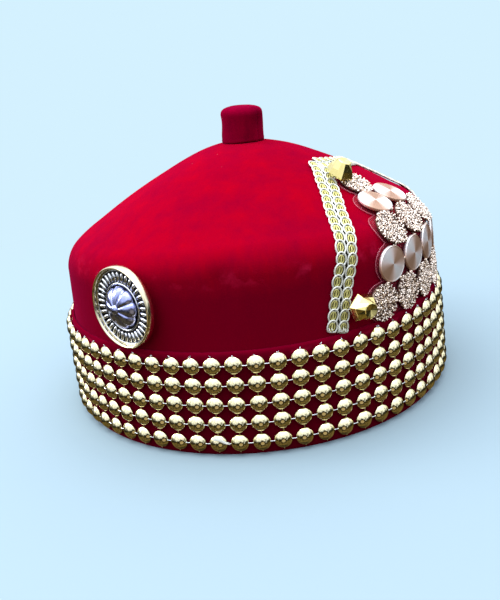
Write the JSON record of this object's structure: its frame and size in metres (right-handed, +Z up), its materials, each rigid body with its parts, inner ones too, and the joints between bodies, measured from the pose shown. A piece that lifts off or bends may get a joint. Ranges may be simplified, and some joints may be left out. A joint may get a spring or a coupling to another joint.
{
  "type": "chieftaincy cap",
  "caption": "Peaked red velvet ceremonial cap with a padded stalk, a cuff of bead rows, a braided V round a disc patch at the front, and a round ornament on one side.",
  "frame": {"origin": "middle of the rim's box, on the surface that the rim stands on", "axes": "+Z up, -Y towards the front with the disc patch, -X towards the side with the round ornament"},
  "size_m": [0.2024, 0.2084, 0.1461],
  "materials": {
    "velvet": "short pile velvet",
    "bead_gold": "polished plating",
    "braid_thread": "metallic looped thread",
    "clear_film": "clear gloss",
    "disc_satin": "spun satin",
    "disc_glitter": "coarse glitter",
    "stud_gold": "polished",
    "silver": "polished"
  },
  "bodies": {
    "root": {"crown": "velvet", "cuff": "velvet", "stalk": "velvet", "bead_row_1": "bead_gold", "bead_row_2": "bead_gold", "bead_row_3": "bead_gold", "bead_row_4": "bead_gold", "bead_row_5": "bead_gold", "patch_film": "clear_film", "disc_1_1": "disc_glitter", "disc_1_2": "disc_glitter", "disc_1_3": "disc_glitter", "disc_1_4": "disc_glitter", "disc_1_5": "disc_glitter", "disc_2_1": "disc_satin", "disc_2_2": "disc_satin", "disc_2_3": "disc_satin", "disc_2_4": "disc_satin", "disc_3_1": "disc_glitter", "disc_3_2": "disc_glitter", "disc_3_3": "disc_glitter", "disc_4_1": "disc_satin", "disc_4_2": "disc_satin", "disc_5_1": "disc_glitter", "nugget_near": "stud_gold", "nugget_top": "stud_gold", "braid_near": "braid_thread", "braid_far": "braid_thread", "medallion_rim": "stud_gold", "medallion_ring": "silver", "medallion_rosette": "silver"}
  },
  "joints": []
}
